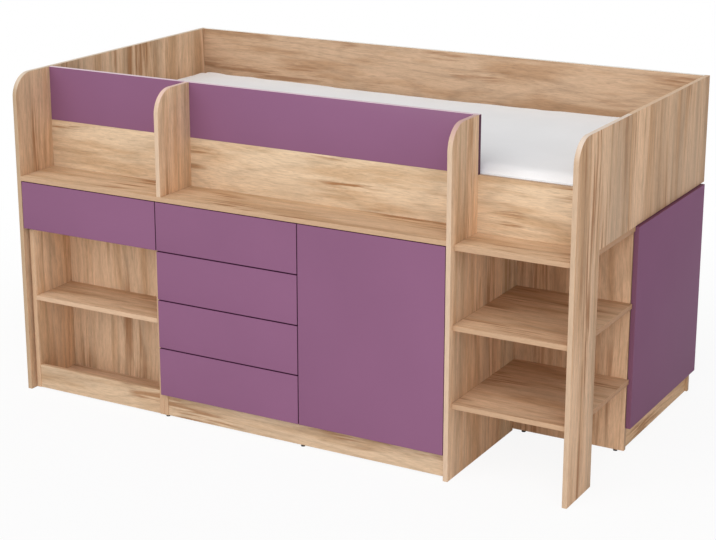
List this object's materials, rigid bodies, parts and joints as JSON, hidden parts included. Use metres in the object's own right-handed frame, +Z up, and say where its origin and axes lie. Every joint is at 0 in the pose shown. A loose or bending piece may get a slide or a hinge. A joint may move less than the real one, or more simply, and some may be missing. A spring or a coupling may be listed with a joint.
{
  "type": "loft bed",
  "caption": "Mid-height loft bed with side steps, ledge, guard board, open bookcase, push-open drawers, a front cupboard, an end cabinet and a mattress on slats.",
  "frame": {"origin": "centre of the footprint, on the floor", "axes": "+X along the bed towards the steps and the end cabinet, +Y from the front edge to the back board, +Z up"},
  "size_m": [2.051, 1.13, 1.118],
  "materials": {
    "oak_laminate": "light oak laminate with a fine pore, satin",
    "purple_front": "plain purple laminate, matt",
    "drawer_board": "pale grey coated board, matt",
    "pine": "planed pine",
    "mattress_cloth": "white knitted cover",
    "runner_steel": "white coated steel",
    "hinge_steel": "nickel plated, satin",
    "black_plastic": "black, matt"
  },
  "bodies": {
    "bed_frame": {"left_end_panel": "oak_laminate", "right_end_post": "oak_laminate", "right_end_board": "oak_laminate", "back_board": "oak_laminate", "front_rail": "oak_laminate", "guard_board": "purple_front", "ledge": "oak_laminate", "short_upright": "oak_laminate", "tall_upright": "oak_laminate", "back_stretcher": "oak_laminate", "slatted_base": "pine", "mattress": "mattress_cloth", "step_bottom": "oak_laminate", "step_middle": "oak_laminate", "step_top": "oak_laminate", "step_back_board": "oak_laminate", "recess_board": "oak_laminate", "bookcase_side_left": "oak_laminate", "bookcase_side_right": "oak_laminate", "bookcase_shelf": "oak_laminate", "bookcase_bottom": "oak_laminate", "bookcase_lip": "oak_laminate", "bookcase_divider": "oak_laminate", "bookcase_back": "oak_laminate", "chest_side": "oak_laminate", "chest_divider": "oak_laminate", "chest_bottom": "oak_laminate", "chest_plinth": "oak_laminate", "chest_back": "oak_laminate", "chest_shelf": "oak_laminate", "top_rails": "oak_laminate", "end_cabinet_side": "oak_laminate", "end_cabinet_back": "oak_laminate", "end_cabinet_bottom": "oak_laminate", "end_cabinet_top": "oak_laminate", "end_cabinet_shelf": "oak_laminate", "end_cabinet_plinth": "oak_laminate", "runner_rails": "runner_steel", "hinge_arms": "hinge_steel", "push_latches": "black_plastic", "glides": "black_plastic"},
    "drawer_1": {"drawer_1_front": "purple_front", "drawer_1_box": "drawer_board", "drawer_1_runners": "runner_steel"},
    "drawer_2": {"drawer_2_front": "purple_front", "drawer_2_box": "drawer_board", "drawer_2_runners": "runner_steel"},
    "drawer_3": {"drawer_3_front": "purple_front", "drawer_3_box": "drawer_board", "drawer_3_runners": "runner_steel"},
    "drawer_4": {"drawer_4_front": "purple_front", "drawer_4_box": "drawer_board", "drawer_4_runners": "runner_steel"},
    "drawer_5": {"drawer_5_front": "purple_front", "drawer_5_box": "drawer_board", "drawer_5_runners": "runner_steel"},
    "door_front_leaf": {"door_front": "purple_front", "hinge_cups_front": "hinge_steel"},
    "door_end_leaf": {"door_end": "purple_front", "hinge_cups_end": "hinge_steel"}
  },
  "joints": [
    {"name": "drawer_1_slide", "type": "slide", "parent": "bed_frame", "child": "drawer_1", "axis": [0, -1, 0], "range_m": [0, 0.27]},
    {"name": "drawer_2_slide", "type": "slide", "parent": "bed_frame", "child": "drawer_2", "axis": [0, -1, 0], "range_m": [0, 0.27]},
    {"name": "drawer_3_slide", "type": "slide", "parent": "bed_frame", "child": "drawer_3", "axis": [0, -1, 0], "range_m": [0, 0.27]},
    {"name": "drawer_4_slide", "type": "slide", "parent": "bed_frame", "child": "drawer_4", "axis": [0, -1, 0], "range_m": [0, 0.27]},
    {"name": "drawer_5_slide", "type": "slide", "parent": "bed_frame", "child": "drawer_5", "axis": [0, -1, 0], "range_m": [0, 0.13]},
    {"name": "door_front_hinge", "type": "hinge", "parent": "bed_frame", "child": "door_front_leaf", "pos_m": [0.6015, -0.565, 0.4175], "axis": [0, 0, 1], "range_deg": [0, 95]},
    {"name": "door_end_hinge", "type": "hinge", "parent": "bed_frame", "child": "door_end_leaf", "pos_m": [1.0255, 0.54, 0.4175], "axis": [0, 0, 1], "range_deg": [0, 95]}
  ]
}
